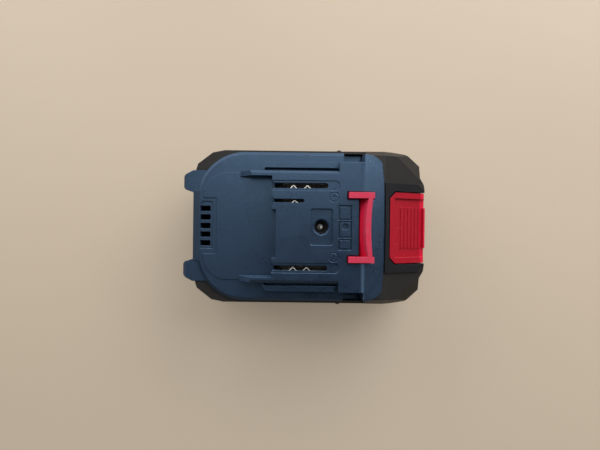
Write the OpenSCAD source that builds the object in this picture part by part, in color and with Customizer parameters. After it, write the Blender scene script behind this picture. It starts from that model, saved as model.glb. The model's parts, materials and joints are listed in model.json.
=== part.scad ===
// Slide-on battery pack for a power tool, in millimetres.
// +X points to the latch button, +Z is up, and the origin is the centre of the footprint on the resting face.

/* [Pack] */
// Height of the contact deck above the block of cells
deck_room = 20.4; // [20.4:0.1:24.4]
// Depth of the entry floor below the deck
floor_drop = 9; // [8:0.5:9]
// Reach of the two stop tabs beyond the end wall
tab_reach = 4.95; // [3:0.05:6]
// Length of the level contact deck
deck_l = 44.1; // [43:0.1:46]
// Length of the cover's sloping end
slope_l = 11.2; // [11:0.1:12]
// Length of the case's sloping nose
nose_l = 19.4; // [19:0.1:21]
// Wall thickness of both housings
wall = 2.2; // [2:0.1:2.4]

/* [Cover] */
// Radius of the cover's two corners at the entry end
entry_corner_r = 24; // [20:1:26]
// Radius of the cover's two corners at the latch end
latch_corner_r = 9.5; // [8:0.5:11]
// Drop of the cover's sloping end
end_drop = 4.5; // [4:0.1:5]
// Width of the deck between the two rail gaps
deck_w = 54.2; // [53.6:0.2:54.6]
// Width of the gap beside the deck
rail_gap = 1.6; // [1:0.1:1.8]
// Width of each rail lip
lip_w = 2.9; // [2.7:0.1:3.6]
// Depth of the lips' tops below the deck
lip_drop = 3.5; // [3.3:0.1:3.5]
// Thickness of the rail lips
lip_t = 1.9; // [1.6:0.1:1.9]
// Overhang of each lip over the side groove
lip_overhang = 1.6; // [1:0.1:2]
// Number of vent openings in the entry floor
vents = 5; // [3:1:5]

/* [Contacts] */
// Distance between the centre lines of the two power slots
slot_spacing = 39.7; // [38:0.1:40]
// Length of the power slots, from the deck face
slot_l = 27; // [26:0.5:28]
// Width of the power slots
slot_w = 2.5; // [2.3:0.1:2.8]
// Distance from the middle to the signal slot
signal_y = 12.5; // [12:0.1:13]
// Length of the signal slot, from the deck face
signal_l = 15.6; // [15:0.1:17]
// Width of the signal slot
signal_w = 1.7; // [1.6:0.1:2]
// Bore of the charging jack
jack_d = 6.4; // [6:0.1:6.6]
// Diameter of the jack's centre pin
jack_pin_d = 2.1; // [2:0.1:2.5]

/* [Latch] */
// Height of the hook above the deck
hook_h = 4; // [3:0.5:4]
// Width of the hook over its two ears
hook_w = 33.6; // [33:0.2:34.2]
// Width of the release button
button_w = 35.1; // [34.5:0.1:35.5]
// Travel of the latch when the button is pressed
latch_travel = 4.8; // [4:0.1:4.8]
// Number of grip ribs on the button
ribs = 6; // [4:1:6]
// Clear gap round the latch in its openings
latch_gap = 0.5; // [0.4:0.05:0.5]

/* [Cells] */
// Diameter of one cell
cell_d = 18.3; // [18:0.1:18.4]
// Length of one cell
cell_l = 65; // [64:0.5:65]
// Clear gap between neighbouring cells
cell_gap = 0.5; // [0.4:0.05:0.7]
// Room beside the cells for the links and the case wall
side_room = 5.6; // [4.9:0.1:7]
// Room for the screws between the cell holders and the case's outer face at the entry end
entry_room = 9.6; // [9.4:0.1:11]
// Room for the screws between the cell holders and the case's outer face at the latch end
front_room = 8.6; // [8.4:0.1:10]

/* [Fasteners] */
// Diameter of the case screws
case_screw_d = 2.6; // [2.4:0.1:2.8]
// Diameter of the board screws
board_screw_d = 1.8; // [1.6:0.1:2]

/* [Hidden] */
$fn = 64;
over = 1;
fit = 0.05;
body_gap = 0.2;

// Cells lie across the pack in columns of two, and their block sets the case's length and width
cell_r = cell_d / 2;
cell_pitch = cell_d + cell_gap;
columns = 5;
holder_rim = 1;
base_t = 2.5;
block_l = (columns - 1) * cell_pitch + cell_d + 2 * holder_rim;
cells_z0 = base_t + holder_rim + cell_r;
holder_z = cells_z0 + cell_pitch + cell_r + holder_rim;
case_w = cell_l + 2 * side_room;
side_y = case_w / 2;

// Places along X, in a chain from the stop tabs to the grip lip
flare = 2.2;
cheek_reach = 2.3;
grip_reach = 0.25;
floor_l = entry_room + block_l + front_room - flare / 2 - deck_l - slope_l - nose_l;
pack_l = tab_reach + flare + floor_l + deck_l + slope_l + nose_l + cheek_reach + grip_reach;
tab_x = -pack_l / 2;
end_x = tab_x + tab_reach;
rim_x = end_x + flare;
case_x = end_x + flare / 2;
deck_x = rim_x + floor_l;
fold_x = deck_x + deck_l;
cover_x = fold_x + slope_l;
front_x = cover_x + nose_l;
cheek_x = front_x + cheek_reach;
grip_x = cheek_x + grip_reach;

// Heights, from the resting face up
deck_z = holder_z + deck_room;
floor_z = deck_z - floor_drop;
rim_step = 0.6;
rim_bevel = 1.5;
rim_z = floor_z - rim_step;
plate_t = 2.9;
seam_z = rim_z - plate_t;
skirt_drop = 3;
skirt_z = seam_z - skirt_drop;
lip_z = deck_z - lip_drop;
groove_z = lip_z - lip_t;
roof_z = deck_z - wall;

// Cover
cover_step = 1;
cover_y = side_y - cover_step;
deck_y = deck_w / 2;
lip_y = deck_y + rail_gap;
lip_end_y = lip_y + lip_w;
deck_chamfer = 1.2;
rail_w = 2.6;
rail_l = 16.1;
rail_x = deck_x - rail_l;
ramp_l = 6.2;
lip_lead = 4.9;
rail_slot_in = 1;
lip_x = deck_x - lip_lead;
lip_point = 1.9;
track_l = 32.4;
shoulder_x = deck_x + track_l;
shoulder_y = lip_end_y;
end_in = 1.8;
end_y = cover_y - end_in;
end_bow_r = 280;
fold_r = 7.5;
notch_d = 1.9;
notch_y = [-15.3, 8.2];
cavity_x = deck_x + notch_d + wall;
cavity_y = deck_y - rail_w;
side_hollow = [2, 3];
side_hollow_in = 4;
floor_edge = 3.4;
floor_y = 26.6;
floor_corner_r = 12;
end_wall_y = 17.5;
tab_root = [16.7, 27.8];
tab_tip = [18.1, 25.7];
tab_corner = [0.9, 1.1];
tab_rise = 0.5;
tab_z = seam_z + tab_rise;
tab_in = 2;
tab_hold = 6;
tab_back_x = rim_x + tab_hold;
tab_bevel = 1.7;
tongue_t = 1.3;
tongue_l = [14, 30];
tongue_x = [deck_x - tongue_l[0], deck_x + tongue_l[1]];
tongue_y = cover_y - wall - body_gap;
slot_y = slot_spacing / 2;
slot_depth = 8;
slot_mouth = 1;
slot_bed = 2.4;
slot_bed_l = 32.5;
slot_bed_depth = 0.5;
slot_bed_r = 2;
jack_l = 23.95;
jack_x = deck_x + jack_l;
jack_r = jack_d / 2;
jack_bed = [10.8, 17.6];
jack_bed_depth = 1.6;
jack_bed_r = 1.2;
jack_rim = 0.6;
jack_lead = 0.15;
jack_hole_r = jack_r + jack_lead;
jack_pad_t = 3.2;
mark_l = 6;
mark_x = jack_x + mark_l;
mark_y = 14.5;
mark_r = 2.4;
mark_w = 0.4;
mark_depth = 0.35;
tray_l = [8.1, 14.6];
tray_x = [jack_x + tray_l[0], jack_x + tray_l[1]];
tray_y = [[3.3, 10.6], [-5.2, 3.0], [-11, -5.5]];
tray_depth = 0.4;
tray_groove = 0.75;
tray_groove_depth = 1.4;
tray_dimple = [11.4, 0.3];
tray_dimple_r = 1.6;
tray_dimple_depth = 1.8;
pocket_l = [2.8, 12];
pocket_in = 0.2;
pocket_x = [shoulder_x + pocket_l[0], shoulder_x + pocket_l[1]];
pocket_y = [shoulder_y - pocket_in, cover_y + over];
well_drop = 4.7;
well_t = 1.2;
well_z = seam_z - well_drop;
case_lip = 1.3;
well_y = side_y - case_lip - body_gap;
vent_l = [1.9, 6.9];
vent_x = [rim_x + vent_l[0], rim_x + vent_l[1]];
vent_w = 2.6;
vent_pitch = 4.3;
vent_bed = [6.2, 11.4];
vent_bed_depth = 0.5;
vent_field = [8.1, 13.9];
vent_slit = [5, 0.9];
vent_slit_y = 11.8;

// Block of cells and holders
block_x = [case_x + entry_room, case_x + entry_room + block_l];
cells_x0 = block_x[0] + holder_rim + cell_r;
holder_y = cell_l / 2;
holder_depth = 12.5;
tie_r = 3;
post_h = 2.3;
post_r = 2.2;
post_in = 9;
post_y = holder_y - post_in;

// Springs under the latch, on seats between the cell holders
spring_l = 45.7;
spring_x = deck_x + spring_l;
spring_y = 12;
spring_r = 2.5;
wire_r = 0.35;
spring_turns = 6;
seat_t = 2;
seat_z = holder_z + seat_t;
seat_reach = 5;
seat_in = 4;
seat_hold = 6;
peg_h = 3;
peg_gap = 0.4;
peg_r = spring_r - wire_r - peg_gap;
seat_x = [spring_x - seat_reach, spring_x + seat_reach];

// Circuit board, which ends short of the spring seats
board_t = 1.6;
board_z = holder_z + post_h;
board_top = board_z + board_t;
board_in = [8, 2.2, 3.5];
board_x = [block_x[0] + board_in[0], seat_x[0] - board_in[1]];
board_y = holder_y - board_in[2];
post_edge = 4;
board_screw_l = 3.2;
post_x = [board_x[0] + post_edge, board_x[1] - post_edge];

// Latch
hook_z = deck_z + hook_h;
hook_y = hook_w / 2;
ear_w = 2.9;
ear_l = [36.75, 49];
ear_x = [deck_x + ear_l[0], deck_x + ear_l[1]];
stem_l = [42.35, 47.3];
stem_x = [deck_x + stem_l[0], deck_x + stem_l[1]];
land_l = 44.6;
land_x = deck_x + land_l;
hook_well = 8;
lead_r = 60;
back_r = 120;
end_slope = end_drop / slope_l;
flange_t = 2.5;
flange_edge = 1.9;
flange_x = [ear_x[0] - flange_edge, ear_x[1] + flange_edge];
flange_top = deck_z - end_slope * (flange_x[1] - fold_x) - wall - latch_gap;
flange_z = flange_top - flange_t;
flange_side = 1.8;
flange_y = hook_y + flange_side;
web_t = 2.5;
web_y = 14;
web_drop = 3.6;
web_z = flange_z - web_drop;
riser_t = 2;
web_hold = 4;
button_y = button_w / 2;
button_step = 2.45;
button_x = cover_x + button_step;
button_reach = 1.3;
button_foot_x = front_x + button_reach;
button_corner = 3;
button_rim = 2.9;
button_rim_end = 2.45;
button_t = 3.2;
field_depth = 1.4;
skirt_in = [2, 0.2];
skirt_x = [front_x - skirt_in[0], front_x - skirt_in[1]];
grip_y = 10.2;
grip_t = 1.3;
grip_edge = [0.9, 0.6];
grip_drop = [2.2, 2.6, 3.4, 5.4];
rib_r = 0.7;
rib_sink = 0.1;
rib_start = 8.7;
rib_x0 = cover_x + rib_start;
rib_pitch = 2;

// Nose of the case: its shoulders fall along one slope, with the button's cheeks raised from it
nose_step = 5;
nose_drop = 11.5;
nose_top = deck_z - nose_step;
nose_foot = nose_top - nose_drop;
nose_x = cover_x - latch_corner_r;
nose_inner = 14.1;
nose_inner_y = side_y - nose_inner;
nose_slope = (nose_top - nose_foot) / nose_l;
button_lift = 1;
cheek_lift = 1.4;
cheek_bevel = [0.2, 2];
cheek_w = 4.1;
cheek_y = button_y + latch_gap + cheek_w;
panel_drop = 10.2;
panel_z = nose_foot - panel_drop;
skirt_drop_z = 6.8;
skirt_room = 1;
skirt_foot_z = panel_z - skirt_drop_z;
function shoulder_at(x) = nose_top - nose_slope * (x - cover_x);
function button_at(x) = shoulder_at(x) + button_lift;
grip_rise = 0.2;
grip_top = button_at(button_foot_x) + grip_rise;

// Screws that join the case and the cover
screw_r = case_screw_d / 2;
screw_head_r = 2.2;
screw_head_h = 2.2;
screw_l = 16;
screw_seat_z = 28;
screw_spare = 0.5;
screw_seat_t = 3;
screw_boss_r = 3;
joint_z = screw_seat_z + screw_seat_t;
screw_off = [3.6, 3.1];
screw_in = [16.6, 10.6];
entry_screw = [block_x[0] - screw_off[0], side_y - screw_in[0]];
front_screw = [block_x[1] + screw_off[1], side_y - screw_in[1]];
arm_rise = [0.3, 1.9];
arm_z = [holder_z + arm_rise[0], holder_z + arm_rise[1]];
arm_w = 6.4;
arm_y = [front_screw[1] - arm_w / 2, front_screw[1] + arm_w / 2];
nose_floor = arm_z[1] + body_gap;

spring_h = flange_z - seat_z;

// A solid from corner to corner
module block(x, y, z) {
    translate([x[0], y[0], z[0]]) cube([x[1] - x[0], y[1] - y[0], z[1] - z[0]]);
}

// A flat shape drawn in X and Z, carried along Y
module along_y(y) {
    translate([0, y[1], 0]) rotate([90, 0, 0]) linear_extrude(y[1] - y[0]) children();
}

// A flat shape drawn in Y and Z, carried along X
module along_x(x) {
    translate([x[0], 0, 0]) rotate([90, 0, 90]) linear_extrude(x[1] - x[0]) children();
}

// A flat shape drawn in X and Y, carried up Z
module along_z(z) {
    translate([0, 0, z[0]]) linear_extrude(z[1] - z[0]) children();
}

module both_sides() {
    children();
    mirror([0, 1, 0]) children();
}

// A rectangle with round corners
module round_rect(x, y, r) {
    translate([x[0] + r, y[0]]) square([x[1] - x[0] - 2 * r, y[1] - y[0]]);
    translate([x[0], y[0] + r]) square([x[1] - x[0], y[1] - y[0] - 2 * r]);
    for (cx = [x[0] + r, x[1] - r], cy = [y[0] + r, y[1] - r]) translate([cx, cy]) circle(r);
}

// Narrower, bowed end of the cover's footprint, set in by a margin
module end_plan(inset) {
    x = [shoulder_x, cover_x - inset];
    y = end_y - inset;
    r = latch_corner_r - inset;
    intersection() {
        union() {
            translate([x[0], -y]) square([x[1] - r - x[0], 2 * y]);
            translate([x[1] - 2 * r, r - y]) square([2 * r, 2 * (y - r)]);
            for (side = [-1, 1]) translate([x[1] - r, side * (y - r)]) circle(r, $fn = 96);
        }
        translate([x[1] - end_bow_r, 0]) circle(end_bow_r, $fn = 720);
    }
}

// Footprint of the cover, set in by a margin all round
module cover_plan(inset) {
    x = [rim_x + inset, pocket_x[1] - inset];
    y = cover_y - inset;
    r = entry_corner_r - inset;
    translate([x[0] + r, -y]) square([x[1] - x[0] - r, 2 * y]);
    translate([x[0], r - y]) square([2 * r, 2 * (y - r)]);
    for (side = [-1, 1]) translate([x[0] + r, side * (y - r)]) circle(r, $fn = 128);
    end_plan(inset);
}

// Line of the deck and its falling end, lowered by a drop, as points from the deck to the end
function deck_line(x0, x1, drop) = let (
    a = atan(end_slope),
    r = fold_r - drop,
    t = fold_r * tan(a / 2)
) concat(
    [[x0, deck_z - drop]],
    [for (i = [0 : 4]) [fold_x - t + r * sin(a * i / 4), deck_z - fold_r + r * cos(a * i / 4)]],
    [[x1, deck_z - end_slope * (x1 - fold_x) - drop / cos(a)]]
);

// Plate of the cover with a bevel along its upper rim
module cover_plate() {
    bevel_z = rim_z - rim_bevel;
    entry_r = entry_corner_r;
    x = [rim_x + entry_r, pocket_x[1]];
    along_z([seam_z, bevel_z]) cover_plan(0);
    along_x(x) polygon([
        [-cover_y, bevel_z],
        [rim_bevel - cover_y, rim_z],
        [cover_y - rim_bevel, rim_z],
        [cover_y, bevel_z]
    ]);
    along_y([entry_r - cover_y, cover_y - entry_r]) polygon([
        [rim_x, bevel_z],
        [rim_x + rim_bevel, rim_z],
        [x[0] + over, rim_z],
        [x[0] + over, bevel_z]
    ]);
    both_sides() translate([x[0], cover_y - entry_r, bevel_z])
        cylinder(h = rim_bevel, r1 = entry_r, r2 = entry_r - rim_bevel, $fn = 128);
}

module deck_body() {
    intersection() {
        union() {
            block([deck_x, shoulder_x + over], [-deck_y, deck_y], [seam_z, deck_z]);
            both_sides() along_y([deck_y - rail_w, deck_y]) polygon([
                [rail_x, rim_z - over],
                [rail_x, floor_z + over],
                [rail_x + ramp_l, deck_z],
                [deck_x + over, deck_z],
                [deck_x + over, rim_z - over]
            ]);
        }
        along_x([rail_x, shoulder_x + over]) polygon([
            [-deck_y, seam_z],
            [-deck_y, deck_z - deck_chamfer],
            [deck_chamfer - deck_y, deck_z],
            [deck_y - deck_chamfer, deck_z],
            [deck_y, deck_z - deck_chamfer],
            [deck_y, seam_z]
        ]);
    }
}

module shoulder_body() {
    intersection() {
        along_z([seam_z, deck_z]) union() {
            translate([shoulder_x, -pocket_y[0]]) square([pocket_x[1] + over - shoulder_x, 2 * pocket_y[0]]);
            intersection() {
                end_plan(0);
                translate([pocket_x[1], -cover_y]) square([cover_x - pocket_x[1], 2 * cover_y]);
            }
        }
        along_y([-cover_y, cover_y]) polygon(concat(
            [[shoulder_x, seam_z]],
            deck_line(shoulder_x, cover_x, 0),
            [[cover_x, seam_z]]
        ));
    }
}

// Deep well beside the shoulder, which the case's wall closes on the outside
module well(gap) {
    z = [well_z - well_t - gap, seam_z + over];
    y0 = pocket_y[0] - well_t - gap;
    block([pocket_x[0] - well_t - gap, pocket_x[1] + gap], [y0, well_y + gap], z);
    block([pocket_x[0], pocket_x[1] + well_t + gap], [y0, end_y - body_gap + gap], z);
}

// Lip over the side groove, set off from the deck by a deep slot with round ends
module rail_lip() {
    difference() {
        union() {
            along_z([groove_z, lip_z]) polygon([
                [lip_x, deck_y - over],
                [lip_x, lip_y],
                [lip_x + lip_point, lip_end_y],
                [shoulder_x - lip_point, lip_end_y],
                [shoulder_x - lip_point / 2, lip_y],
                [shoulder_x - lip_point / 2, deck_y - over]
            ]);
            block(
                [lip_x, shoulder_x + over],
                [deck_y - over, lip_end_y - lip_overhang],
                [rim_z - over, groove_z]
            );
        }
        along_z([floor_z, deck_z])
            round_rect([lip_x + rail_slot_in, shoulder_x], [deck_y, lip_y], rail_gap / 2 - fit);
    }
}

module stop_tab() {
    intersection() {
        along_z([skirt_z, tab_z]) polygon([
            [rim_x + tab_in, tab_root[0]],
            [end_x, tab_root[0]],
            [tab_x + tab_corner[0], tab_tip[0]],
            [tab_x, tab_tip[0] + tab_corner[1]],
            [tab_x, tab_tip[1] - tab_corner[1]],
            [tab_x + tab_corner[0], tab_tip[1]],
            [end_x, tab_root[1]],
            [tab_back_x, tab_root[1]]
        ]);
        along_y([tab_root[0], tab_root[1]]) polygon([
            [tab_back_x, skirt_z],
            [tab_x, skirt_z],
            [tab_x, tab_z - tab_bevel],
            [tab_x + tab_bevel, tab_z],
            [tab_back_x, tab_z]
        ]);
    }
}

// Slot for a blade that slides in from the entry end: open right through, behind a flared mouth
module blade_slot(y, l, w) {
    translate([0, y, 0]) {
        along_z([deck_z - slot_depth, deck_z + over]) polygon([
            [deck_x - over, -w / 2 - slot_mouth],
            [deck_x, -w / 2 - slot_mouth],
            [deck_x + slot_mouth, -w / 2],
            [deck_x + slot_mouth, w / 2],
            [deck_x, w / 2 + slot_mouth],
            [deck_x - over, w / 2 + slot_mouth]
        ]);
        along_z([seam_z - over, deck_z + over]) {
            translate([deck_x + slot_mouth - fit, -w / 2]) square([l - slot_mouth + fit - w / 2, w]);
            translate([deck_x + l - w / 2, 0]) circle(w / 2);
        }
    }
}

module polarity_mark(y, plus) {
    translate([mark_x, y, deck_z - mark_depth]) linear_extrude(over) {
        difference() {
            circle(mark_r);
            circle(mark_r - mark_w);
        }
        square([mark_w, mark_r], center = true);
        if (plus) square([mark_r, mark_w], center = true);
    }
}

// The latch's outline in plan where it passes through the cover
module hook_plan(gap) {
    difference() {
        translate([stem_x[0] - gap, -hook_y]) square([ear_x[1] - stem_x[0] + 2 * gap, hook_w]);
        translate([stem_x[1] + gap + back_r, 0]) circle(back_r, $fn = 256);
    }
    for (side = [-1, 1]) {
        translate([ear_x[0] - gap, side * (hook_y - ear_w / 2) - ear_w / 2 - gap])
            square([ear_x[1] - ear_x[0] + 2 * gap, ear_w + 2 * gap]);
    }
}

module deck_cavity() {
    inner_x = cover_x - wall;
    along_y([-cavity_y, cavity_y]) polygon(concat(
        [[cavity_x, seam_z - over]],
        deck_line(cavity_x, inner_x, wall),
        [[inner_x, seam_z - over]]
    ));
    block(
        [pocket_x[1] + side_hollow[0], inner_x - over],
        [side_hollow_in - shoulder_y, shoulder_y - side_hollow_in],
        [seam_z - over, rim_z + side_hollow[1]]
    );
    block(
        [inner_x - over, cover_x + over],
        [-web_y - over, web_y + over],
        [seam_z - over, web_z + web_t + over]
    );
}

module entry_details() {
    block([vent_x[0], vent_x[0] + vent_field[0]], [-vent_field[1], vent_field[1]], [rim_z, floor_z + over]);
    block(
        [vent_x[0], vent_x[0] + vent_bed[0]],
        [-vent_bed[1], vent_bed[1]],
        [rim_z - vent_bed_depth, floor_z]
    );
    block(
        [vent_x[0] + vent_slit[1], vent_x[0] + vent_slit[0] + vent_slit[1]],
        [vent_slit_y - vent_slit[1] / 2, vent_slit_y + vent_slit[1] / 2],
        [rim_z - 2 * vent_bed_depth, floor_z]
    );
    for (i = [0 : vents - 1]) {
        y = (i - (vents - 1) / 2) * vent_pitch;
        block(vent_x, [y - vent_w / 2, y + vent_w / 2], [seam_z - over, floor_z]);
    }
}

module deck_details() {
    block([deck_x - over, deck_x + notch_d], notch_y, [floor_z, deck_z + over]);
    both_sides() {
        blade_slot(slot_y, slot_l, slot_w);
        along_z([deck_z - slot_bed_depth, deck_z + over])
            round_rect(
                [deck_x - 2 * slot_bed, deck_x + slot_bed_l],
                [slot_y - slot_bed, slot_y + slot_bed],
                slot_bed_r
            );
        block(pocket_x, pocket_y, [well_z, deck_z + over]);
    }
    blade_slot(signal_y, signal_l, signal_w);
    along_z([deck_z - jack_bed_depth, deck_z + over]) round_rect(
        [jack_x - jack_bed[0] / 2, jack_x + jack_bed[0] / 2],
        [-jack_bed[1] / 2, jack_bed[1] / 2],
        jack_bed_r
    );
    translate([jack_x, 0, deck_z - jack_pad_t - over]) cylinder(h = jack_pad_t + over, r = jack_hole_r);
    translate([jack_x, 0, deck_z - jack_bed_depth - jack_rim])
        cylinder(h = jack_rim + 0.01, r1 = jack_hole_r, r2 = jack_hole_r + jack_rim);
    for (y = tray_y) {
        block(tray_x, y, [deck_z - tray_depth, deck_z + over]);
        difference() {
            block(tray_x, y, [deck_z - tray_groove_depth, deck_z]);
            block(
                [tray_x[0] + tray_groove, tray_x[1] - tray_groove],
                [y[0] + tray_groove, y[1] - tray_groove],
                [deck_z - 2 * tray_groove_depth, deck_z]
            );
        }
    }
    translate([jack_x + tray_dimple[0], tray_dimple[1], deck_z - tray_dimple_depth])
        cylinder(h = tray_dimple_depth, r = tray_dimple_r);
    polarity_mark(mark_y, true);
    polarity_mark(-mark_y, false);
    along_z([roof_z - hook_well, hook_z]) hook_plan(latch_gap);
}

// Arm that reaches under the nose to the front screw
module front_arm() {
    block([cover_x - wall, front_screw[0]], arm_y, arm_z);
    block([cover_x - wall, cover_x], arm_y, [arm_z[0], seam_z + over]);
}

module cover_boss(place, top) {
    difference() {
        translate([place[0], place[1], joint_z]) cylinder(h = top - joint_z, r = screw_boss_r);
        translate([place[0], place[1], joint_z - over])
            cylinder(h = screw_l - screw_seat_t + over, r = screw_r + fit);
    }
}

module top_cover() {
    color("#2c3a4b") difference() {
        union() {
            difference() {
                union() {
                    cover_plate();
                    along_z([rim_z - over, floor_z])
                        round_rect(
                            [rim_x + floor_edge, deck_x + floor_corner_r],
                            [-floor_y, floor_y],
                            floor_corner_r
                        );
                    along_y([-end_wall_y, end_wall_y]) polygon([
                        [rim_x + over, skirt_z],
                        [end_x, skirt_z],
                        [end_x, seam_z],
                        [rim_x + rim_bevel, rim_z],
                        [rim_x + rim_bevel + over, rim_z],
                        [rim_x + rim_bevel + over, seam_z]
                    ]);
                    deck_body();
                    shoulder_body();
                    both_sides() {
                        stop_tab();
                        rail_lip();
                    }
                }
                deck_cavity();
            }
            block(
                [jack_x - jack_bed[0] / 2 - over, jack_x + jack_bed[0] / 2 + over],
                [-jack_bed[1] / 2 - over, jack_bed[1] / 2 + over],
                [deck_z - jack_pad_t, roof_z + 0.1]
            );
            both_sides() {
                block(tongue_x, [tongue_y - tongue_t, tongue_y], [skirt_z, seam_z + over]);
                well(0);
                cover_boss(entry_screw, seam_z + over);
                cover_boss(front_screw, arm_z[1]);
                difference() {
                    front_arm();
                    translate([front_screw[0], front_screw[1], joint_z])
                        cylinder(h = deck_z, r = screw_boss_r - body_gap);
                }
            }
        }
        entry_details();
        deck_details();
    }
}

// Outline of the case in plan, set in by a margin
entry_corner = [[0, 10.3], [1.1, 6.9], [8.5, 1.2], [14.5, 0]];
nose_corner = [[15.2, 0], [7.8, 0.8], [0, 6.4], [0, 12.6]];
function case_half(inset) = [
    [case_x + entry_corner[0][0] + inset, side_y - entry_corner[0][1] - inset / 2],
    [case_x + entry_corner[1][0] + inset, side_y - entry_corner[1][1] - inset],
    [case_x + entry_corner[2][0] + inset / 2, side_y - entry_corner[2][1] - inset],
    [case_x + entry_corner[3][0], side_y - entry_corner[3][1] - inset],
    [front_x - nose_corner[0][0] - inset / 3, side_y - nose_corner[0][1] - inset],
    [front_x - nose_corner[1][0] - inset / 2, side_y - nose_corner[1][1] - inset],
    [front_x - nose_corner[2][0] - inset, side_y - nose_corner[2][1] - inset / 2]
];

function mirrored(points) = [for (i = [len(points) - 1 : -1 : 0]) [points[i][0], -points[i][1]]];

module case_plan() {
    front = [
        [front_x, side_y - nose_corner[3][1]],
        [cheek_x - cheek_bevel[0], cheek_y],
        [cheek_x, cheek_y - cheek_bevel[1]]
    ];
    half = concat(case_half(0), front);
    polygon(concat(half, mirrored(half)));
}

module case_inner_plan() {
    half = concat(case_half(wall), [[front_x - wall, side_y - nose_corner[3][1]]]);
    polygon(concat(half, mirrored(half)));
}

// Removes what lies above a plane that leaves the nose's slope along a line facing a compass angle
module bevel_cut(point, facing, tilt) {
    fall = atan(nose_slope);
    up = [sin(fall), 0, cos(fall)];
    n = up * cos(tilt) + [cos(facing), sin(facing), 0] * sin(tilt);
    translate([point[0], point[1], shoulder_at(point[0])])
        rotate([0, acos(n[2] / norm(n)), atan2(n[1], n[0])])
        translate([-pack_l / 4, -pack_l / 4, 0]) cube([pack_l / 2, pack_l / 2, pack_l / 10]);
}

side_bevel_w = 2.7;
side_bevel_tilt = 65;
corner_bevel_at = [8.2, 4.4];
corner_bevel_facing = 50;
corner_bevel_tilt = 24;

module side_bevel() {
    bevel_cut([cover_x, side_y - side_bevel_w], 90, side_bevel_tilt);
}

module corner_bevel() {
    at = [cover_x + corner_bevel_at[0], side_y - corner_bevel_at[1]];
    bevel_cut(at, corner_bevel_facing, corner_bevel_tilt);
}

module case_body() {
    bottom_bevel = 2;
    edge_z = nose_top - side_bevel_w * tan(side_bevel_tilt) / cos(atan(nose_slope));
    difference() {
        intersection() {
            along_z([0, deck_z]) case_plan();
            along_y([-case_w, case_w]) polygon([
                [case_x + bottom_bevel, 0],
                [case_x, bottom_bevel],
                [case_x, seam_z],
                [nose_x, seam_z],
                [nose_x, nose_top],
                [cover_x, nose_top],
                [cheek_x, shoulder_at(cheek_x)],
                [cheek_x, bottom_bevel],
                [cheek_x - bottom_bevel, 0]
            ]);
            along_x([case_x, cheek_x]) polygon([
                [bottom_bevel - side_y, 0],
                [-side_y, bottom_bevel],
                [-side_y, edge_z],
                [side_bevel_w - side_y, nose_top],
                [side_y - side_bevel_w, nose_top],
                [side_y, edge_z],
                [side_y, bottom_bevel],
                [side_y - bottom_bevel, 0]
            ]);
        }
        both_sides() {
            side_bevel();
            corner_bevel();
        }
    }
}

// The darker frame raised round three sides of the button
module button_frame() {
    difference() {
        intersection() {
            along_y([-cheek_y, cheek_y]) polygon([
                [cover_x, shoulder_at(cover_x) - over],
                [cover_x, nose_top + cheek_lift],
                [cheek_x, shoulder_at(cheek_x) + cheek_lift],
                [cheek_x, shoulder_at(cheek_x) - over]
            ]);
            along_z([0, deck_z]) case_plan();
        }
        both_sides() corner_bevel();
    }
}

// The button's outline in plan, with a gap all round; it runs on past the front
module button_plan(gap) {
    y = button_y + gap;
    polygon([
        [button_x - gap, button_corner - y],
        [button_x - gap, y - button_corner],
        [button_x - gap + button_corner, y],
        [grip_x + over, y],
        [grip_x + over, -y],
        [button_x - gap + button_corner, -y]
    ]);
}

module case_boss(place) {
    translate([place[0], place[1], base_t - over]) cylinder(h = joint_z - base_t + over, r = screw_boss_r);
}

module bottom_case() {
    side_panel = [70, 24];
    panel_depth = 0.6;
    side_rib = [0.4, 1.4, 0.5, 8];
    ledge = [12, 3.5];
    color("#33323a") difference() {
        union() {
            difference() {
                union() {
                    case_body();
                    button_frame();
                }
                along_z([base_t, nose_floor]) case_inner_plan();
                along_z([nose_floor - over, skirt_z]) intersection() {
                    case_inner_plan();
                    translate([case_x, -case_w]) square([cover_x - case_x, 2 * case_w]);
                }
                along_z([skirt_z - over, seam_z + over]) cover_plan(wall);
                both_sides() well(body_gap);
                block(
                    [cover_x - wall - over, cover_x],
                    [-arm_y[1] - body_gap, arm_y[1] + body_gap],
                    [nose_floor - over, seam_z + over]
                );
                along_z([seam_z, deck_z]) cover_plan(-fit);
                along_y([-nose_inner_y, nose_inner_y]) polygon([
                    [cover_x - wall - over, nose_floor - over],
                    [cover_x - wall - over, nose_top - wall],
                    [cover_x, nose_top - wall],
                    [front_x - wall, shoulder_at(front_x - wall) - wall],
                    [front_x - wall, nose_floor - over]
                ]);
                block(
                    [end_x, tab_back_x + body_gap],
                    [-tab_root[1] - body_gap, tab_root[1] + body_gap],
                    [skirt_z, deck_z]
                );
                along_z([panel_z, deck_z]) button_plan(latch_gap);
                block(
                    [front_x - wall - over, skirt_x[1] + latch_gap],
                    [-button_y - latch_gap, button_y + latch_gap],
                    [skirt_foot_z - latch_travel - skirt_room, deck_z]
                );
            }
            both_sides() {
                case_boss(entry_screw);
                case_boss(front_screw);
                block(
                    [shoulder_x - side_rib[0], shoulder_x + side_rib[1]],
                    [side_y - over, side_y + side_rib[2]],
                    [seam_z - side_rib[3], seam_z]
                );
                block(
                    [block_x[0] + ledge[0], block_x[1] - ledge[0]],
                    [holder_y + 2 * fit, side_y - wall + 2 * fit],
                    [base_t - 2 * fit, base_t + ledge[1]]
                );
            }
        }
        both_sides() {
            for (place = [entry_screw, front_screw]) translate([place[0], place[1], -over]) {
                cylinder(h = screw_seat_z + over, r = screw_head_r + body_gap);
                cylinder(h = joint_z + 2 * over, r = screw_r + body_gap);
            }
            block(
                [-side_panel[0] / 2, side_panel[0] / 2],
                [side_y - panel_depth, case_w],
                [(seam_z - side_panel[1]) / 2, (seam_z + side_panel[1]) / 2]
            );
        }
    }
}

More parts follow.
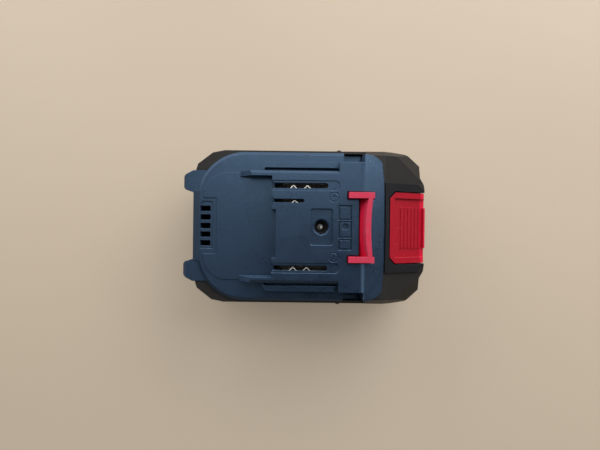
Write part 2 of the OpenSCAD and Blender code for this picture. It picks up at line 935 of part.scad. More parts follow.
// Hook: a lead-in face that starts at the deck, a top land with a bowed edge, and two ears
module hook() {
    lead = land_x - stem_x[0];
    lead_foot = 2.5;
    foot_z = deck_z - lead_foot;
    rise = hook_h + lead_foot;
    stem_y = hook_y - ear_w + 0.01;
    difference() {
        union() {
            block(stem_x, [-stem_y, stem_y], [flange_z, foot_z]);
            intersection() {
                block([stem_x[0], ear_x[1]], [-stem_y, stem_y], [foot_z - 0.01, hook_z]);
                translate([land_x + lead_r, 0, foot_z - 0.01])
                    cylinder(h = rise + 0.01, r1 = lead_r + lead * rise / hook_h, r2 = lead_r, $fn = 256);
            }
        }
        translate([stem_x[1] + back_r, 0, flange_top]) cylinder(h = deck_z, r = back_r, $fn = 256);
    }
    both_sides() block(ear_x, [hook_y - ear_w, hook_y], [flange_z, hook_z]);
    block(flange_x, [-flange_y, flange_y], [flange_z, flange_top]);
    block([flange_x[1] - riser_t, flange_x[1]], [-web_y, web_y], [web_z, flange_top]);
    block([flange_x[1] - riser_t, button_x + web_hold], [-web_y, web_y], [web_z, web_z + web_t]);
}

module button() {
    field_x = button_x + button_rim_end;
    field_y = button_y - button_rim;
    foot = [button_foot_x, button_at(button_foot_x)];
    foot_reach = 0.9;
    foot_drop = [1.2, 3.6, 5];
    difference() {
        intersection() {
            along_z([skirt_foot_z, deck_z]) button_plan(0);
            along_y([-button_y, button_y]) polygon([
                [button_x, button_at(button_x)],
                foot,
                foot + [foot_reach, -foot_drop[0]],
                foot + [foot_reach, -foot_drop[1]],
                [skirt_x[1], foot[1] - foot_drop[2]],
                [skirt_x[1], skirt_foot_z],
                [skirt_x[0], skirt_foot_z],
                [skirt_x[0], button_at(skirt_x[0]) - button_t],
                [button_x, button_at(button_x) - button_t]
            ]);
        }
        along_y([-field_y, field_y]) polygon([
            [field_x, button_at(field_x) - field_depth],
            [field_x, button_at(field_x) + over],
            [grip_x, button_at(field_x) + over],
            [grip_x, button_at(grip_x) - field_depth]
        ]);
    }
    intersection() {
        for (i = [0 : ribs - 1]) {
            x = rib_x0 + i * rib_pitch;
            translate([x, grip_y, button_at(x) - field_depth - rib_sink]) rotate([90, 0, 0])
                cylinder(h = 2 * grip_y, r = rib_r);
        }
        along_z([skirt_foot_z, deck_z]) button_plan(0);
    }
    along_y([-grip_y, grip_y]) polygon([
        [grip_x - grip_edge[0], grip_top],
        [grip_x, grip_top - grip_edge[1]],
        [grip_x, grip_top - grip_drop[2]],
        [button_foot_x, grip_top - grip_drop[3]],
        [button_foot_x, grip_top - grip_drop[1]],
        [grip_x - grip_t, grip_top - grip_drop[0]]
    ]);
}

module latch() {
    color("#b8283f") {
        hook();
        button();
    }
}

// Closed coil with its end turns lying flat, as a tube of small facets
module coil(height) {
    steps = 16;
    sides = 6;
    count = spring_turns * steps;
    rise = height - 2 * wire_r;
    function turn_z(t) = wire_r + rise * min(1, max(0, (t - 0.75) / (spring_turns - 1.5)));
    points = [for (i = [0 : count], j = [0 : sides - 1])
        let (a = 360 * i / steps, b = 360 * j / sides, r = spring_r + wire_r * cos(b))
        [r * cos(a), r * sin(a), turn_z(i / steps) + wire_r * sin(b) * 0.999]];
    walls = [for (i = [0 : count - 1], j = [0 : sides - 1])
        let (k = (j + 1) % sides)
        [i * sides + j, i * sides + k, (i + 1) * sides + k, (i + 1) * sides + j]];
    caps = [[for (j = [sides - 1 : -1 : 0]) j], [for (j = [0 : sides - 1]) count * sides + j]];
    polyhedron(points = points, faces = concat(caps, walls));
}

module latch_spring(side) {
    color("silver") translate([spring_x, side * spring_y, seat_z]) coil(spring_h);
}

function cell_x(n) = cells_x0 + floor((n - 1) / 2) * cell_pitch;
function cell_z(n) = cells_z0 + ((n - 1) % 2) * cell_pitch;

// Cell with its groove and cap at the positive end; columns alternate
module cell(n) {
    groove = 0.5;
    cap_r = 6.5;
    facing = floor((n - 1) / 2) % 2 == 0 ? 90 : -90;
    top = cell_l / 2;
    color("#2f8f83") translate([cell_x(n), 0, cell_z(n)]) rotate([facing, 0, 0])
        rotate_extrude($fn = 96) polygon([
            [0, -top],
            [cell_r - groove, -top],
            [cell_r, groove - top],
            [cell_r, top - 6 * groove],
            [cell_r - groove, top - 5 * groove],
            [cell_r - groove, top - 4 * groove],
            [cell_r, top - 3 * groove],
            [cell_r, top - 2 * groove],
            [cap_r, top - groove],
            [cap_r - groove, top],
            [0, top]
        ]);
}

// Frame for the cell ends on one side, with board posts, a spring seat and ties to the other frame
module cell_holder() {
    y = [holder_y - holder_depth, holder_y];
    difference() {
        union() {
            block(block_x, y, [base_t, holder_z]);
            block(seat_x, [spring_y - seat_in, y[0] + over], [holder_z, seat_z]);
            block(seat_x, [y[0], y[0] + seat_hold], [holder_z - over, seat_z]);
            translate([spring_x, spring_y, seat_z - over]) cylinder(h = peg_h + over, r = peg_r);
            for (x = post_x) translate([x, post_y, holder_z - over / 2])
                cylinder(h = post_h + over / 2, r = post_r);
            for (i = [0 : columns - 2])
                translate([cells_x0 + (i + 0.5) * cell_pitch, y[0] + over, cells_z0 + cell_pitch / 2])
                rotate([90, 0, 0]) cylinder(h = y[0] + over, r = tie_r);
        }
        for (n = [1 : 2 * columns]) translate([cell_x(n), holder_y + over, cell_z(n)]) rotate([90, 0, 0])
            cylinder(h = holder_depth + 2 * over, r = cell_r + fit, $fn = 96);
        for (x = post_x) translate([x, post_y, board_top - board_screw_l - over / 4])
            cylinder(h = board_screw_l, r = board_screw_d / 2 + fit);
    }
}

module left_cell_holder() {
    color("#202226") cell_holder();
}

module right_cell_holder() {
    color("#202226") mirror([0, 1, 0]) cell_holder();
}

// Links weld two columns of two cells together; the first and last links serve one column each
link_t = 0.3;
link_margin = 6;
link_tab_w = 7;
link_foot = 4.5;
link_z = [cells_z0 - link_margin, cells_z0 + cell_pitch + link_margin];
link_strap = 4.5;
link_off = [8, 5, -4];
link_end = 10;
link_tab_x = [
    cell_x(2) + link_off[0],
    cell_x(2) + link_off[0],
    cell_x(4) + link_off[1],
    cell_x(6) + link_off[2],
    board_x[1] - link_end,
    board_x[1] - link_end
];

module cell_link(n) {
    far_side = n % 2 == 0 ? 1 : 0;
    first = max(1, n - 1);
    last = min(columns, n);
    x = [cell_x(2 * first) - link_margin, cell_x(2 * last) + link_margin];
    tab = [link_tab_x[n - 1] - link_tab_w / 2, link_tab_x[n - 1] + link_tab_w / 2];
    y = [holder_y, holder_y + link_t];
    lift = n == 2 * ceil(columns / 2) ? link_strap + body_gap : 0;
    strap_z = [link_z[1] - link_strap + lift, link_z[1] + lift];
    color("lightgray") mirror([0, far_side, 0]) {
        block(x, y, link_z);
        block([min(x[0], tab[0]), x[1]], y, strap_z);
        block(tab, y, [strap_z[0], board_top + link_t]);
        block(tab, [board_y - link_foot, holder_y + link_t], [board_top, board_top + link_t]);
    }
}

module circuit_board() {
    color("#1f5a3a") difference() {
        block(board_x, [-board_y, board_y], [board_z, board_top]);
        both_sides() for (x = post_x)
            translate([x, post_y, board_z - over])
            cylinder(h = board_t + 2 * over, r = board_screw_d / 2 + 2 * fit);
    }
}

// A line of points moved sideways by a distance, with mitred corners
function heading(a, b) = (b - a) / norm(b - a);
function beside(line, d) = [for (i = [0 : len(line) - 1])
    let (
        last = len(line) - 1,
        u = heading(line[max(0, i - 1)], line[max(1, i)]),
        v = heading(line[min(i, last - 1)], line[min(i + 1, last)]),
        turn = u + v
    )
    line[i] + d * [-turn[1], turn[0]] / (1 + u * v)];
function backwards(points) = [for (i = [len(points) - 1 : -1 : 0]) points[i]];

// Contact for a blade: a flat back and a spring leaf with bumps, both under the slot's edges
sheet_t = 0.4;
leaf_back = 0.35;
leaf_drop = 0.6;
leaf_end = 0.6;
bump_half = 1.9;
bump_tip = 0.25;
bump_l = [17, 10.3, 11];

module blade_contact(y, w, x0, x1, bumps) {
    side = w / 2 + leaf_back;
    path = concat(
        [[x0, side], [x1, side], [x1, -side]],
        [for (b = bumps, k = [1, 0, -1]) [b + k * bump_half, k == 0 ? bump_tip : -side]],
        [[x0, -side]]
    );
    translate([0, y, 0]) along_z([board_top, roof_z - leaf_drop])
        polygon(concat(beside(path, sheet_t / 2), backwards(beside(path, -sheet_t / 2))));
}

power_bumps = [deck_x + bump_l[0], deck_x + bump_l[1]];
contact_x0 = cavity_x + leaf_drop;

module positive_terminal() {
    color("gold") blade_contact(slot_y, slot_w, contact_x0, deck_x + slot_l + leaf_end, power_bumps);
}

module negative_terminal() {
    color("gold") blade_contact(-slot_y, slot_w, contact_x0, deck_x + slot_l + leaf_end, power_bumps);
}

module signal_terminal() {
    color("gold")
        blade_contact(signal_y, signal_w, contact_x0, deck_x + signal_l + leaf_end, [deck_x + bump_l[2]]);
}

jack_top = deck_z - jack_pad_t;
jack_base = 2.5;
jack_floor = board_top + jack_base;
jack_body = [9, 14];
pin_step = 0.3;
pin_sink = 4;
pin_end = 0.4;
pin_h = jack_top - pin_sink - board_top;
leaf_t = 0.4;
leaf_w = 2.4;
leaf_groove = 1;

module jack_housing() {
    color("#17181b") difference() {
        block(
            [jack_x - jack_body[0] / 2, jack_x + jack_body[0] / 2],
            [-jack_body[1] / 2, jack_body[1] / 2],
            [board_top, jack_top]
        );
        translate([jack_x, 0, jack_floor]) cylinder(h = deck_z, r = jack_r);
        translate([jack_x, 0, board_top - over]) cylinder(h = deck_z, r = jack_pin_d / 2 + pin_step);
        block(
            [jack_x - leaf_w / 2, jack_x + leaf_w / 2],
            [-jack_r - leaf_groove, 0],
            [jack_floor, jack_top + over]
        );
    }
}

module jack_pin() {
    color("lightgray") translate([jack_x, 0, board_top]) {
        cylinder(h = jack_floor - board_top, r = jack_pin_d / 2 + pin_step);
        cylinder(h = pin_h, r = jack_pin_d / 2);
        translate([0, 0, pin_h]) cylinder(h = pin_end, r1 = jack_pin_d / 2, r2 = jack_pin_d / 2 - pin_end);
    }
}

module jack_contact() {
    y = -jack_r - leaf_groove;
    bow = [1, 5];
    bow_start = 2;
    end_gap = 1;
    color("lightgray") along_x([jack_x - leaf_w / 2, jack_x + leaf_w / 2]) polygon([
        [y, jack_floor],
        [y, jack_top - end_gap],
        [y + leaf_t, jack_top - end_gap],
        [y + leaf_t + bow[0], jack_floor + bow[1]],
        [y + leaf_t, jack_floor + bow_start],
        [y + leaf_t, jack_floor]
    ]);
}

// Parts on the board, each with its size and its place from the board's edge or the deck's face
mosfet_size = [6.5, 7, 2.3];
mosfet_place = [9, -12];
mosfet_pitch = 9;
chip_size = [5, 8, 1.2];
chip_edge = 2;
shunt_size = [6.4, 3.2, 0.8];
shunt_places = [[-9, -20], [-9, -16]];
fuse_size = [10, 3.5, 3];
fuse_place = [-10, 15];
can_r = 2.5;
can_h = 6;
can_places = [[12, -8], [12, 0], [12, 6]];

module mosfets() {
    color("#26272b") for (i = [0 : 2])
        translate([board_x[0] + mosfet_place[0], mosfet_place[1] + i * mosfet_pitch, board_top])
        cube(mosfet_size);
}

module controller_chip() {
    color("#26272b") translate([board_x[0] + chip_edge, -chip_size[1] / 2, board_top]) cube(chip_size);
}

module current_shunts() {
    color("#3b3b3f") for (place = shunt_places)
        translate([deck_x + place[0], place[1], board_top]) cube(shunt_size);
}

module fuse() {
    color("#d8d2c0") translate([deck_x + fuse_place[0], fuse_place[1], board_top]) cube(fuse_size);
}

module capacitors() {
    color("#5b6068") for (place = can_places)
        translate([deck_x + place[0], place[1], board_top]) cylinder(h = can_h, r = can_r);
}

// Temperature bead resting in the groove between two upper cells, on two leads from the board
module thermistor() {
    bead_r = 1.3;
    bead_x = cell_x(4) + cell_pitch / 2;
    reach = cell_r + bead_r + 0.02;
    bead_z = cell_z(2) + sqrt(reach * reach - cell_pitch * cell_pitch / 4);
    lead_r = 0.25;
    lead_y = 0.6;
    color("#2b3f6b") {
        translate([bead_x, 0, bead_z]) sphere(bead_r);
        for (side = [-1, 1]) translate([bead_x, side * lead_y, bead_z])
            cylinder(h = board_z - bead_z, r = lead_r);
    }
}

module board_screws() {
    head_h = 1.4;
    head_r = 1.8;
    color("silver") both_sides() for (x = post_x) translate([x, post_y, board_top]) {
        cylinder(h = head_h, r = head_r);
        translate([0, 0, -board_screw_l]) cylinder(h = board_screw_l + fit, r = board_screw_d / 2);
    }
}

module case_screws() {
    drive_r = 1;
    drive_h = 1.2;
    color("silver") both_sides() for (place = [entry_screw, front_screw])
        translate([place[0], place[1], screw_seat_z]) difference() {
            union() {
                translate([0, 0, -screw_head_h]) cylinder(h = screw_head_h, r = screw_head_r);
                cylinder(h = screw_l - screw_spare, r = screw_r);
            }
            translate([0, 0, -screw_head_h - over]) cylinder(h = drive_h + over, r = drive_r, $fn = 6);
        }
}

top_cover();
bottom_case();
latch();
latch_spring(1);  // latch_spring_left
latch_spring(-1);  // latch_spring_right
cell(1);  // cell_1
cell(2);  // cell_2
cell(3);  // cell_3
cell(4);  // cell_4
cell(5);  // cell_5
cell(6);  // cell_6
cell(7);  // cell_7
cell(8);  // cell_8
cell(9);  // cell_9
cell(10);  // cell_10
left_cell_holder();
right_cell_holder();
cell_link(1);  // cell_link_1
cell_link(2);  // cell_link_2
cell_link(3);  // cell_link_3
cell_link(4);  // cell_link_4
cell_link(5);  // cell_link_5
cell_link(6);  // cell_link_6
circuit_board();
positive_terminal();
negative_terminal();
signal_terminal();
jack_housing();
jack_pin();
jack_contact();
mosfets();
controller_chip();
current_shunts();
fuse();
capacitors();
thermistor();
board_screws();
case_screws();
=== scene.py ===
"""Looks of a slide-on battery pack for a power tool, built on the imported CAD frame."""

import json
import math

import bpy
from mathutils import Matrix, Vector


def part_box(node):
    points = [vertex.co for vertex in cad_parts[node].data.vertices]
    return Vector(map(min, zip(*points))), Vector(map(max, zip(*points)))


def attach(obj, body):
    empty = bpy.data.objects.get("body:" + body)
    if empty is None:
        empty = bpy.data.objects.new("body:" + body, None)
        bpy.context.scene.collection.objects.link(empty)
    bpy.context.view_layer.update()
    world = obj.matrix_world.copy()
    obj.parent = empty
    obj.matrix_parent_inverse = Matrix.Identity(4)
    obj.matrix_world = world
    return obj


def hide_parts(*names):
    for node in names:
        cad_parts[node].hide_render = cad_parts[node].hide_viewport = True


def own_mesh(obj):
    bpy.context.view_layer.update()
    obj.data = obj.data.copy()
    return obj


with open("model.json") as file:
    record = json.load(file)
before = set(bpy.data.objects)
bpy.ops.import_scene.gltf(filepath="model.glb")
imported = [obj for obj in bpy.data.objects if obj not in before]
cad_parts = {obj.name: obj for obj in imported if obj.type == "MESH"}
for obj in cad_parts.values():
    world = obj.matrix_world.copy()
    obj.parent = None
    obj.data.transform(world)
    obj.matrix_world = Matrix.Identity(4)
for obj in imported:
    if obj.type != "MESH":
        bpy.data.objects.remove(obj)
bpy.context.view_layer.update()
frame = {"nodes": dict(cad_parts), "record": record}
MM = 0.001
SCENE = bpy.context.scene
MATERIALS = {}  # by the name of the slot


# Colour and node helpers

NOISE_ROUGHNESS = 0.55
NOISE_SPAN = (0.3, 0.7)  # what nearly all of a noise lies within
BEVEL_SAMPLES = 8
EDGE_LEAN = (0.004, 0.3)


def srgb(red, green, blue):
    """A colour written as 0 to 255 per channel, as linear RGBA."""
    def linear(value):
        value /= 255
        return value / 12.92 if value <= 0.04045 else ((value + 0.055) / 1.055) ** 2.4
    return (linear(red), linear(green), linear(blue), 1.0)


class Graph:
    """The node tree of one new material, with short calls for the nodes used here."""

    def __init__(self, name):
        self.name = name
        self.material = bpy.data.materials.new(name)
        self.material.use_nodes = True
        self.tree = self.material.node_tree
        self.shader = self.tree.nodes["Principled BSDF"]
        self.place = self.add("TexCoord").outputs["Object"]
        self.facing = self.add("NewGeometry").outputs["Normal"]

    def put(self, socket, value):
        """Links a socket, or sets it to a plain value."""
        if isinstance(value, bpy.types.NodeSocket):
            self.tree.links.new(value, socket)
        else:
            socket.default_value = value

    def add(self, kind, inputs=None, **settings):
        """A new node with its settings, and its inputs linked or set."""
        node = self.tree.nodes.new("ShaderNode" + kind)
        for name, value in settings.items():
            setattr(node, name, value)
        for key, value in (inputs or {}).items():
            self.put(node.inputs[key], value)
        return node

    def math(self, operation, first, second=0.0):
        return self.add("Math", {0: first, 1: second}, operation=operation).outputs[0]

    def blend(self, first, second, share=0.5):
        """Two values added up by their shares."""
        return self.math("ADD", self.math("MULTIPLY", first, share), self.math("MULTIPLY", second, 1 - share))

    def split(self, vector):
        return self.add("SeparateXYZ", {0: vector}).outputs

    def noise(self, scale, detail=3.0, stretch=(1, 1, 1)):
        """Noise with about that many features per metre, before the stretch."""
        place = self.add("VectorMath", {0: self.place, 1: stretch}, operation="MULTIPLY").outputs[0]
        inputs = {"Vector": place, "Scale": scale, "Detail": detail, "Roughness": NOISE_ROUGHNESS}
        return self.add("TexNoise", inputs).outputs["Fac"]

    def cell_borders(self, scale):
        """The distance to the nearest border between irregular cells."""
        inputs = {"Vector": self.place, "Scale": scale}
        return self.add("TexVoronoi", inputs, feature="DISTANCE_TO_EDGE").outputs["Distance"]

    def fit(self, value, low, high, to_low=0.0, to_high=1.0):
        """A value's range fitted to another range, and kept inside it."""
        inputs = {"Value": value, "From Min": low, "From Max": high, "To Min": to_low, "To Max": to_high}
        return self.add("MapRange", inputs, clamp=True).outputs["Result"]

    def mix(self, factor, first, second):
        node = self.add("Mix", data_type="RGBA")
        self.put(node.inputs["Factor"], factor)
        colours = [socket for socket in node.inputs if socket.type == "RGBA"]
        self.put(colours[0], first)
        self.put(colours[1], second)
        return next(socket for socket in node.outputs if socket.type == "RGBA")

    def rounded(self, radius):
        """The normal with edges rounded off."""
        return self.add("Bevel", {"Radius": radius}, samples=BEVEL_SAMPLES).outputs["Normal"]

    def bump(self, height, distance, strength, normal=None):
        node = self.add("Bump", {"Height": height, "Distance": distance, "Strength": strength})
        if normal is not None:
            self.put(node.inputs["Normal"], normal)
        return node.outputs["Normal"]

    def edges(self, normal):
        """1 along sharp edges and 0 on flat faces, from how far the rounded normal leans away."""
        along = self.add("VectorMath", {0: normal, 1: self.facing}, operation="DOT_PRODUCT").outputs["Value"]
        return self.fit(self.math("SUBTRACT", 1.0, along), *EDGE_LEAN)

    def finish(self, **sockets):
        """Fills the shader's sockets and files the material under its name."""
        for socket, value in sockets.items():
            self.put(self.shader.inputs[socket.replace("_", " ")], value)
        MATERIALS[self.name] = self.material


# Kinds of material. Scales are in features per metre.

BROAD_PATCHES, SMALL_PATCHES, BROAD_SHARE = 45, 380, 0.6
RUBBED_SPOTS, SHEEN_PATCHES = 900, 120
SCRATCHES, SCRATCH_STRETCH, SCRATCH_SHARE = 240, (0.12, 3.4, 1), 0.1
SPECK_SHARE = 0.22
PLASTIC_SWING = 0.07
PLASTIC_RELIEF_STRENGTH = 0.6

DRAWN_LINES, DULL_PATCHES = 5200, 620
METAL_ROUND_OFF = 0.08 * MM
METAL_RELIEF = 0.004 * MM

FILM_WRINKLES, FILM_RELIEF = 420, 0.03 * MM
COPPER_AREAS, LAMINATE_WEAVE, COPPER_STEP = 170, 2400, 0.03 * MM


def moulded(name, dark, light, edge, rough, grain=2600, round_off=0.3 * MM, relief=0.02 * MM,
            wear=(0.08, 0.42), zones=(), **sockets):
    """Moulded plastic: patchy colour, fine eroded grain, rubbed edges and a few hair scratches.

    A zone is a mask with a colour and a roughness of its own."""
    g = Graph(name)
    patches = g.blend(g.noise(BROAD_PATCHES), g.noise(SMALL_PATCHES), BROAD_SHARE)
    colour = g.mix(g.fit(patches, 0.36, 0.64), dark, light)
    zones = [(mask(g), tone, level) for mask, tone, level in zones]
    for mask, tone, _ in zones:
        colour = g.mix(mask, colour, tone)
    fine = g.noise(grain, detail=2.0)
    colour = g.mix(g.fit(fine, 0.6, 0.76, 0.0, SPECK_SHARE), colour, edge)
    normal = g.rounded(round_off)
    rub = g.math("MULTIPLY", g.edges(normal), g.fit(g.noise(RUBBED_SPOTS), 0.38, 0.72, *wear))
    colour = g.mix(rub, colour, edge)
    scratches = g.noise(SCRATCHES, detail=1.0, stretch=SCRATCH_STRETCH)
    colour = g.mix(g.fit(scratches, 0.715, 0.745, 0.0, SCRATCH_SHARE), colour, edge)
    sheen = g.blend(fine, g.noise(SHEEN_PATCHES))
    roughness = g.fit(sheen, *NOISE_SPAN, rough - PLASTIC_SWING, rough + PLASTIC_SWING)
    for mask, _, level in zones:
        roughness = g.math("ADD", roughness, g.math("MULTIPLY", mask, level - rough))
    surface = g.bump(fine, relief, PLASTIC_RELIEF_STRENGTH, normal)
    g.finish(Base_Color=colour, Roughness=roughness, Normal=surface, **sockets)


def metal(name, bright, dull, rough, brush=(1, 1, 1)):
    """Plain or plated metal with drawn lines and dull patches."""
    g = Graph(name)
    lines = g.noise(DRAWN_LINES, detail=1.0, stretch=brush)
    patches = g.noise(DULL_PATCHES)
    colour = g.mix(g.fit(patches, 0.45, 0.72), bright, dull)
    roughness = g.fit(g.blend(lines, patches), *NOISE_SPAN, rough - 0.08, rough + 0.14)
    surface = g.bump(lines, METAL_RELIEF, 0.5, g.rounded(METAL_ROUND_OFF))
    g.finish(Base_Color=colour, Metallic=1.0, Roughness=roughness, Normal=surface)


def sleeve(name):
    """Shrunk teal film with fine wrinkles, and bare nickel where it leaves the cell's ends open."""
    g = Graph(name)
    ends = g.fit(g.math("ABSOLUTE", g.split(g.facing)["Y"]), 0.8, 0.95)
    wrinkles = g.noise(FILM_WRINKLES, detail=2.0, stretch=(1, 0.12, 1))
    film = g.mix(g.fit(wrinkles, *NOISE_SPAN), srgb(38, 118, 110), srgb(52, 138, 128))
    colour = g.mix(ends, film, srgb(196, 194, 186))
    g.finish(Base_Color=colour, Metallic=ends, Roughness=g.fit(wrinkles, *NOISE_SPAN, 0.22, 0.34),
             Normal=g.bump(wrinkles, FILM_RELIEF, 0.4))


def laminate(name):
    """Lacquered board with paler bare gaps between its copper areas and a fine weave."""
    g = Graph(name)
    copper = g.fit(g.cell_borders(COPPER_AREAS), 0.02, 0.05)
    weave = g.noise(LAMINATE_WEAVE, detail=1.0)
    lacquer = g.mix(g.fit(weave, 0.35, 0.65), srgb(12, 16, 15), srgb(17, 22, 20))
    colour = g.mix(copper, srgb(26, 30, 28), lacquer)
    g.finish(Base_Color=colour, Roughness=g.fit(weave, *NOISE_SPAN, 0.25, 0.38),
             Normal=g.bump(copper, COPPER_STEP, 0.5))


# Zones of the cover, the case and the latch

FRAME_HALF_WIDTH = 22.2 * MM
FRAME_START = 37.6 * MM
BUTTON_LIP = 58.6 * MM
HOOK_TOP = 64.5 * MM
HOOK_WEAR_AND_HIGHLIGHT = 300


def coarse_walls_painted_sheen(g):
    """Walls and chamfers, which keep the coarse grain of the mould that use has polished off the top faces;
    their paler, bluer colour is painted sheen that stands in for the light they catch.
    """
    return g.fit(g.math("ABSOLUTE", g.split(g.facing)["Z"]), 0.55, 0.9, 1.0, 0.0)


def button_frame(g):
    """The raised frame round the button, smoother and bluer than the shoulders beside it."""
    place = g.split(g.place)
    inside = g.math("LESS_THAN", g.math("ABSOLUTE", place["Y"]), FRAME_HALF_WIDTH)
    return g.math("MULTIPLY", inside, g.math("GREATER_THAN", place["X"], FRAME_START))


def button_face(g):
    """The button end of the latch up to its lip, a darker red and with a coarser matt grain than the hook."""
    x = g.split(g.place)["X"]
    return g.math("MULTIPLY", g.math("GREATER_THAN", x, FRAME_START), g.math("LESS_THAN", x, BUTTON_LIP))


def hook_top_wear_and_highlight(g):
    """The top of the hook, paler pink in patches: partly rubbed by the tool's catch, partly a painted
    highlight on its top faces.
    """
    wear_and_highlight = g.fit(g.noise(HOOK_WEAR_AND_HIGHLIGHT), *NOISE_SPAN, 0.3, 0.7)
    return g.math("MULTIPLY", wear_and_highlight, g.math("GREATER_THAN", g.split(g.place)["Z"], HOOK_TOP))


# The materials, each named after its slot

moulded("cover_plastic", srgb(13, 20, 34), srgb(17, 26, 41), srgb(52, 74, 106), rough=0.3,
        grain=2400, relief=0.022 * MM, wear=(0.02, 0.26),
        # walls and chamfers: a paler blue that is painted sheen, with a coarser grain
        zones=[(coarse_walls_painted_sheen, srgb(15, 33, 55), 0.75)],
        IOR=1.6, Specular_IOR_Level=0.75, Specular_Tint=(0.39, 0.66, 1.0, 1.0))
moulded("case_plastic", srgb(20, 18, 15), srgb(26, 23, 20), srgb(70, 66, 62), rough=0.5,
        zones=[(button_frame, srgb(4, 5, 9), 0.4)],
        Specular_IOR_Level=0.3, Specular_Tint=(0.96, 0.97, 1.0, 1.0))
moulded("latch_plastic", srgb(182, 15, 43), srgb(192, 19, 50), srgb(214, 84, 106), rough=0.34,
        relief=0.01 * MM, wear=(0.15, 0.5),
        # hook top: pale pink patches, part rub and part painted highlight
        zones=[(button_face, srgb(142, 6, 23), 0.5), (hook_top_wear_and_highlight, srgb(160, 68, 88), 0.3)],
        Specular_IOR_Level=0.3, Specular_Tint=(1.0, 0.5, 0.65, 1.0))
moulded("holder_plastic", srgb(28, 29, 31), srgb(36, 37, 39), srgb(70, 70, 72), rough=0.55)
# the jack's black plastic, made darker still as painted shade for the inside of its hole
moulded("jack_plastic", srgb(9, 9, 10), srgb(14, 14, 15), srgb(46, 46, 50), rough=0.45, round_off=0.15 * MM)
moulded("chip_resin", srgb(26, 26, 28), srgb(34, 34, 36), srgb(80, 80, 82), rough=0.5, round_off=0.1 * MM)
moulded("fuse_ceramic", srgb(214, 206, 188), srgb(226, 220, 204), srgb(240, 236, 226), rough=0.3,
        round_off=0.2 * MM)
moulded("bead_resin", srgb(34, 50, 96), srgb(42, 60, 110), srgb(120, 134, 170), rough=0.25)
metal("contact_metal", srgb(236, 232, 224), srgb(196, 190, 178), rough=0.34, brush=(1, 1, 0.06))
metal("jack_metal", srgb(222, 219, 212), srgb(170, 166, 158), rough=0.22, brush=(1, 1, 0.1))
metal("nickel_sheet", srgb(200, 198, 190), srgb(160, 156, 146), rough=0.32, brush=(0.08, 1, 1))
metal("spring_steel", srgb(188, 190, 194), srgb(140, 142, 146), rough=0.26)
metal("shunt_alloy", srgb(104, 104, 108), srgb(82, 82, 86), rough=0.4, brush=(0.1, 1, 1))
metal("capacitor_can", srgb(168, 172, 178), srgb(132, 136, 142), rough=0.3, brush=(1, 1, 0.08))
metal("screw_steel", srgb(172, 174, 178), srgb(120, 122, 126), rough=0.3)
sleeve("cell_sleeve")
laminate("board_laminate")

for row in frame["record"]["subparts"]:
    mesh = frame["nodes"][row["node"]].data
    mesh.materials.clear()
    mesh.materials.append(MATERIALS[row["material_slot"]])


# Springs under the latch

WIRE = 0.35 * MM  # radius
TURNS = 6
FLAT_TURN = 0.75  # the part of a turn that lies flat at each end
STEPS_PER_TURN = 32
WIRE_SIDES = 12


def coil_mesh(name, low, high):
    """A coil of round wire with flat end turns that fills a box."""
    middle = [(a + b) / 2 for a, b in zip(low, high)]
    radius = (high[0] - low[0]) / 2 - WIRE
    rise = high[2] - low[2] - 2 * WIRE
    steps = TURNS * STEPS_PER_TURN
    points, faces = [], []
    for i in range(steps + 1):
        turn = i / STEPS_PER_TURN
        share = min(1.0, max(0.0, (turn - FLAT_TURN) / (TURNS - 2 * FLAT_TURN)))
        angle = 2 * math.pi * turn
        for j in range(WIRE_SIDES):
            around = 2 * math.pi * j / WIRE_SIDES
            reach = radius + WIRE * math.cos(around)
            points.append((middle[0] + reach * math.cos(angle), middle[1] + reach * math.sin(angle),
                           low[2] + WIRE + rise * share + WIRE * math.sin(around)))
    for i in range(steps):
        for j in range(WIRE_SIDES):
            a, b = i * WIRE_SIDES + j, i * WIRE_SIDES + (j + 1) % WIRE_SIDES
            faces.append((a, a + WIRE_SIDES, b + WIRE_SIDES, b))
    faces.append(tuple(range(WIRE_SIDES)))
    faces.append(tuple(reversed(range(len(points) - WIRE_SIDES, len(points)))))
    mesh = bpy.data.meshes.new(name)
    mesh.from_pydata(points, [], faces)
    mesh.polygons.foreach_set("use_smooth", [len(face) == 4 for face in faces])
    return mesh


def spring(name, node):
    """A coil in the space of a spring's CAD solid, standing on the pack."""
    low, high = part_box(node)
    obj = bpy.data.objects.new(name, coil_mesh(name, low, high))
    SCENE.collection.objects.link(obj)
    obj.data.materials.append(MATERIALS["spring_steel"])
    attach(obj, "pack")
    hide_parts(node)
    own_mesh(obj)


# Floor, light and camera

FLOOR_HALF = 4.0
FLOOR_CLOUDS = 3
FLOOR_GLOW = 0.66

ROOM_COLOUR = (0.96, 0.98, 1.0, 1)
ROOM_LEVELS = {"From Min": 0.0, "From Max": 0.45, "To Min": 0.15, "To Max": 0.02}  # strength by height
LAMP_DISTANCE = 0.8
LAMP_AIM = Vector((0, 0, 0.05))
SOFTBOXES = (  # azimuth and elevation in degrees, width and height in metres, watts
    (130, 20, 1.0, 0.55, 7.4),
    (58, 20, 0.8, 0.55, 6.4),
    (55, 48, 0.5, 0.5, 3.2),
    (90, 70, 0.4, 0.4, 1.3),
    (17, 41, 0.18, 0.18, 0.6),
    (-15, 60, 0.25, 0.25, 0.55),
    (0, 20, 0.5, 0.5, 0.35),
    (180, 70, 0.4, 0.4, 0.3),
    (225, 20, 0.5, 0.5, 0.15),
)

SENSOR_WIDTH = 36
PICTURE_WIDTH, FOCAL_LENGTH = 600, 542  # in pixels
CAMERA_PLACE = (-2.45 * MM, 0.9 * MM, 322 * MM)
CAMERA_TURN = math.radians(0.7)
CAMERA_CLIP = 0.01


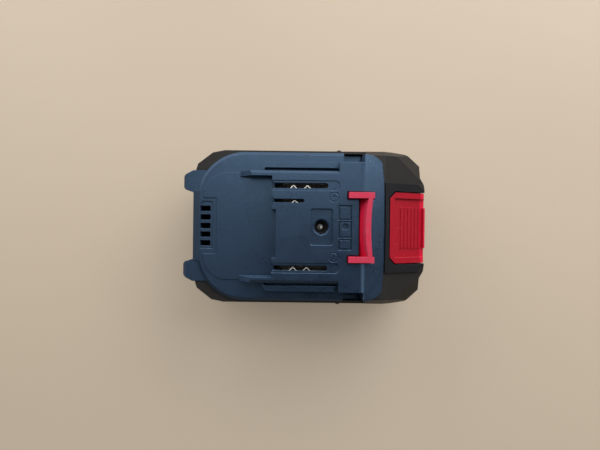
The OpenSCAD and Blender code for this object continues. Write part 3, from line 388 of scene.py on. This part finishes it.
def floor():
    """A plain pale table top. Its glow shows to the camera and in reflections, and lights nothing else."""
    mesh = bpy.data.meshes.new("floor")
    corners = [(-1, -1), (1, -1), (1, 1), (-1, 1)]
    mesh.from_pydata([(x * FLOOR_HALF, y * FLOOR_HALF, 0) for x, y in corners], [], [(0, 1, 2, 3)])
    obj = bpy.data.objects.new("floor", mesh)
    SCENE.collection.objects.link(obj)
    g = Graph("floor_surface")
    clouds = g.fit(g.noise(FLOOR_CLOUDS, detail=2.0), *NOISE_SPAN)
    colour = g.mix(clouds, srgb(143, 130, 114), srgb(148, 136, 120))
    path = g.add("LightPath").outputs
    seen = g.math("MAXIMUM", path["Is Glossy Ray"], path["Is Transmission Ray"])
    seen = g.math("MAXIMUM", path["Is Camera Ray"], seen)
    g.finish(Base_Color=colour, Roughness=0.7, Emission_Color=colour,
             Emission_Strength=g.math("MULTIPLY", seen, FLOOR_GLOW))
    mesh.materials.append(g.material)


def room():
    """A dim room that is paler towards the horizon."""
    world = bpy.data.worlds.new("studio")
    world.use_nodes = True
    nodes, links = world.node_tree.nodes, world.node_tree.links
    background = nodes["Background"]
    background.inputs["Color"].default_value = ROOM_COLOUR
    split = nodes.new("ShaderNodeSeparateXYZ")
    links.new(nodes.new("ShaderNodeTexCoord").outputs["Generated"], split.inputs[0])
    level = nodes.new("ShaderNodeMapRange")
    for key, number in ROOM_LEVELS.items():
        level.inputs[key].default_value = number
    links.new(split.outputs["Z"], level.inputs["Value"])
    links.new(level.outputs["Result"], background.inputs["Strength"])
    SCENE.world = world


def softbox(azimuth, elevation, width, height, watts):
    """A flat lamp that faces the pack."""
    data = bpy.data.lights.new("softbox_%d_%d" % (azimuth, elevation), "AREA")
    data.shape = "RECTANGLE"
    data.size = width
    data.size_y = height
    data.energy = watts
    turn, rise = math.radians(azimuth), math.radians(elevation)
    away = Vector((math.cos(rise) * math.cos(turn), math.cos(rise) * math.sin(turn), math.sin(rise)))
    obj = bpy.data.objects.new(data.name, data)
    obj.location = LAMP_AIM + LAMP_DISTANCE * away
    obj.rotation_euler = (-away).to_track_quat("-Z", "Y").to_euler()
    obj.visible_camera = False
    SCENE.collection.objects.link(obj)


def camera():
    """The photo's view, from straight above."""
    data = bpy.data.cameras.new("camera")
    data.sensor_width = SENSOR_WIDTH
    data.lens = SENSOR_WIDTH * FOCAL_LENGTH / PICTURE_WIDTH
    data.clip_start = CAMERA_CLIP
    obj = bpy.data.objects.new("camera", data)
    obj.location = CAMERA_PLACE
    obj.rotation_euler = (0, 0, CAMERA_TURN)
    SCENE.collection.objects.link(obj)
    SCENE.camera = obj


spring("coil_left", "latch_spring_left")
spring("coil_right", "latch_spring_right")
floor()
room()
for box in SOFTBOXES:
    softbox(*box)
camera()
SCENE.view_settings.view_transform = "Standard"
